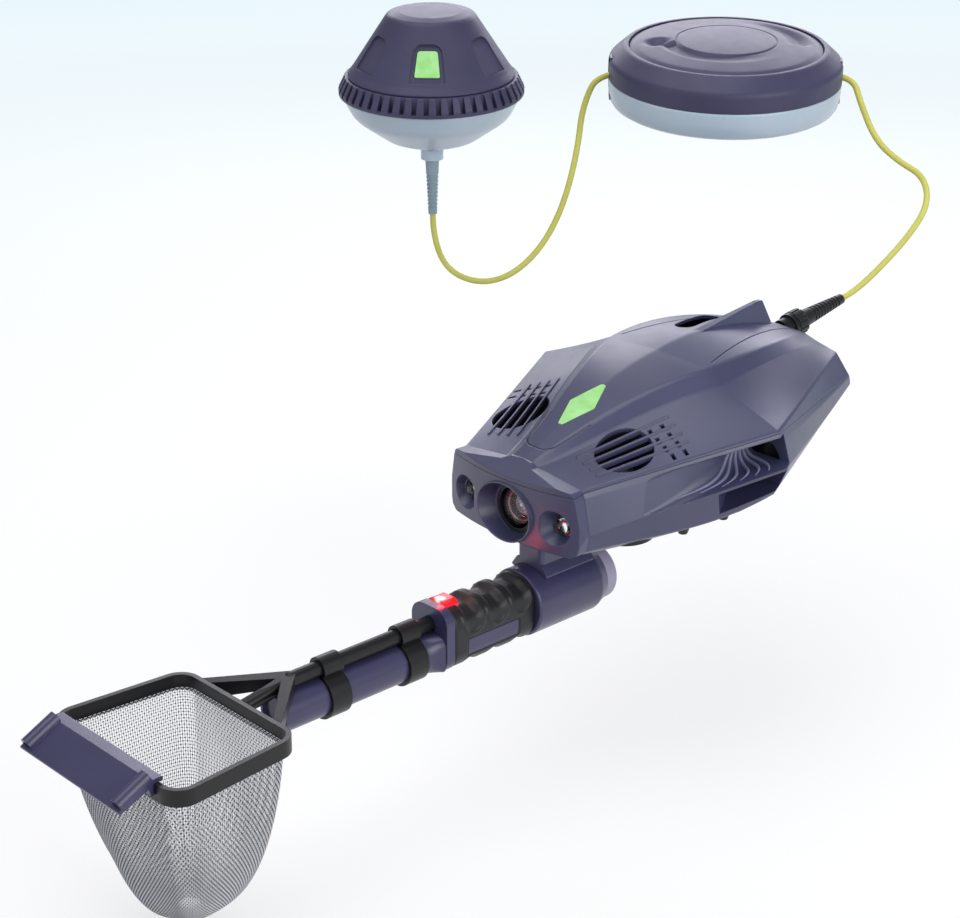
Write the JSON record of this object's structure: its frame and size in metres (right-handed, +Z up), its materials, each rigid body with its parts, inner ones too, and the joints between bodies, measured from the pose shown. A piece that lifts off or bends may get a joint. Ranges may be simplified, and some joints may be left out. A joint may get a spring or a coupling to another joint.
{
  "type": "underwater inspection rov",
  "caption": "Navy faceted underwater inspection vehicle with twin lamps and camera, five thrusters, a grip arm with a landing net, and a yellow tether up to a floating winder and radio buoy.",
  "frame": {"origin": "centre of buoyancy of the vehicle's hull, 40 mm above its flat belly on the centreline", "axes": "+Z up, -Y toward the nose and camera, +X to the vehicle's port side"},
  "size_m": [0.3965, 0.6586, 0.3864],
  "materials": {
    "hull_plastic": "satin",
    "duct_plastic": "satin",
    "green_glass": "gloss",
    "red_glass": "gloss",
    "black_rubber": "satin",
    "boot_rubber": "satin",
    "steel": "satin",
    "black_plastic": "satin",
    "clear_glass": "gloss",
    "lens_glass": "gloss",
    "reflector": "polished",
    "lamp_chip": "satin",
    "motor_metal": "satin",
    "propeller_plastic": "satin",
    "case_metal": "satin",
    "cell_wrap": "gloss",
    "board": "satin",
    "arm_paint": "satin",
    "cap_plastic": "satin",
    "net_mesh": "matte",
    "float_navy": "satin",
    "float_pale": "satin",
    "tether_jacket": "satin"
  },
  "bodies": {
    "vehicle": {"top_hood": "hull_plastic", "lower_hull": "hull_plastic", "nose_bezel": "hull_plastic", "emblem_window": "green_glass", "scoop_vanes_port": "duct_plastic", "scoop_vanes_starboard": "duct_plastic", "skid_feet": "black_rubber", "hull_screws": "steel", "camera_housing": "black_plastic", "camera_window": "clear_glass", "camera_lens": "lens_glass", "lamp_cups": "black_plastic", "lamp_lenses": "clear_glass", "lamp_chips": "lamp_chip", "vertical_ducts": "black_plastic", "thrust_duct_port": "black_plastic", "thrust_duct_starboard": "black_plastic", "motor_front_port": "motor_metal", "motor_front_starboard": "motor_metal", "motor_rear": "motor_metal", "motor_side_port": "motor_metal", "motor_side_starboard": "motor_metal", "electronics_case": "case_metal", "battery_pack": "cell_wrap", "control_board": "board", "tether_socket": "black_plastic", "tether_boot": "boot_rubber", "arm_pylon": "hull_plastic", "arm_barrel": "arm_paint", "grip_sleeve": "black_rubber", "grip_plates": "arm_paint", "grip_lamp": "red_glass", "arm_flange": "black_plastic", "arm_tube": "arm_paint", "tube_clips": "black_plastic", "winder_top": "float_navy", "winder_base": "float_pale", "winder_guides": "black_plastic", "buoy_dome": "float_navy", "buoy_ring": "float_navy", "buoy_bowl": "float_pale", "buoy_window": "green_glass", "buoy_boot": "boot_rubber", "buoy_radio": "board", "tether_lower": "tether_jacket", "tether_upper": "tether_jacket"},
    "net": {"net_handle": "black_plastic", "net_frame": "black_plastic", "net_bag": "net_mesh", "net_scraper": "arm_paint"},
    "cap": {"barrel_cap": "cap_plastic"},
    "lock": {"lock_ring": "black_plastic"},
    "reel": {"winder_dial": "float_navy", "winder_spool": "black_plastic", "wound_tether": "tether_jacket"},
    "prop_front_port": {"propeller_front_port": "propeller_plastic"},
    "prop_front_starboard": {"propeller_front_starboard": "propeller_plastic"},
    "prop_rear": {"propeller_rear": "propeller_plastic"},
    "prop_side_port": {"propeller_side_port": "propeller_plastic"},
    "prop_side_starboard": {"propeller_side_starboard": "propeller_plastic"}
  },
  "joints": [
    {"name": "front_port_spin", "type": "hinge", "parent": "vehicle", "child": "prop_front_port", "pos_m": [0.041, -0.072, -0.009], "axis": [0, 0, 1], "continuous": true},
    {"name": "front_starboard_spin", "type": "hinge", "parent": "vehicle", "child": "prop_front_starboard", "pos_m": [-0.041, -0.072, -0.009], "axis": [0, 0, 1], "continuous": true},
    {"name": "rear_spin", "type": "hinge", "parent": "vehicle", "child": "prop_rear", "pos_m": [0, 0.064, 0.012], "axis": [0, 0, 1], "continuous": true},
    {"name": "side_port_spin", "type": "hinge", "parent": "vehicle", "child": "prop_side_port", "pos_m": [0.06001, 0.04155, -0.00106], "axis": [0.3997, -0.9137, -0.0734], "continuous": true},
    {"name": "side_starboard_spin", "type": "hinge", "parent": "vehicle", "child": "prop_side_starboard", "pos_m": [-0.06001, 0.04155, -0.00106], "axis": [-0.3997, -0.9137, -0.0734], "continuous": true},
    {"name": "lock_twist", "type": "hinge", "parent": "vehicle", "child": "lock", "pos_m": [0.00042, 0.12489, 0.02958], "axis": [0.0701, 0.9811, 0.1802], "range_deg": [0, 60]},
    {"name": "cap_twist", "type": "hinge", "parent": "vehicle", "child": "cap", "pos_m": [0, -0.057, -0.0835], "axis": [0, 1, 0], "range_deg": [0, 90]},
    {"name": "net_slide", "type": "slide", "parent": "vehicle", "child": "net", "axis": [0, -1, 0], "range_m": [0, 0.055]},
    {"name": "reel_turn", "type": "hinge", "parent": "vehicle", "child": "reel", "pos_m": [-0.109, 0.175, 0.158], "axis": [0.0764, -0.0713, 0.9945], "continuous": true}
  ]
}
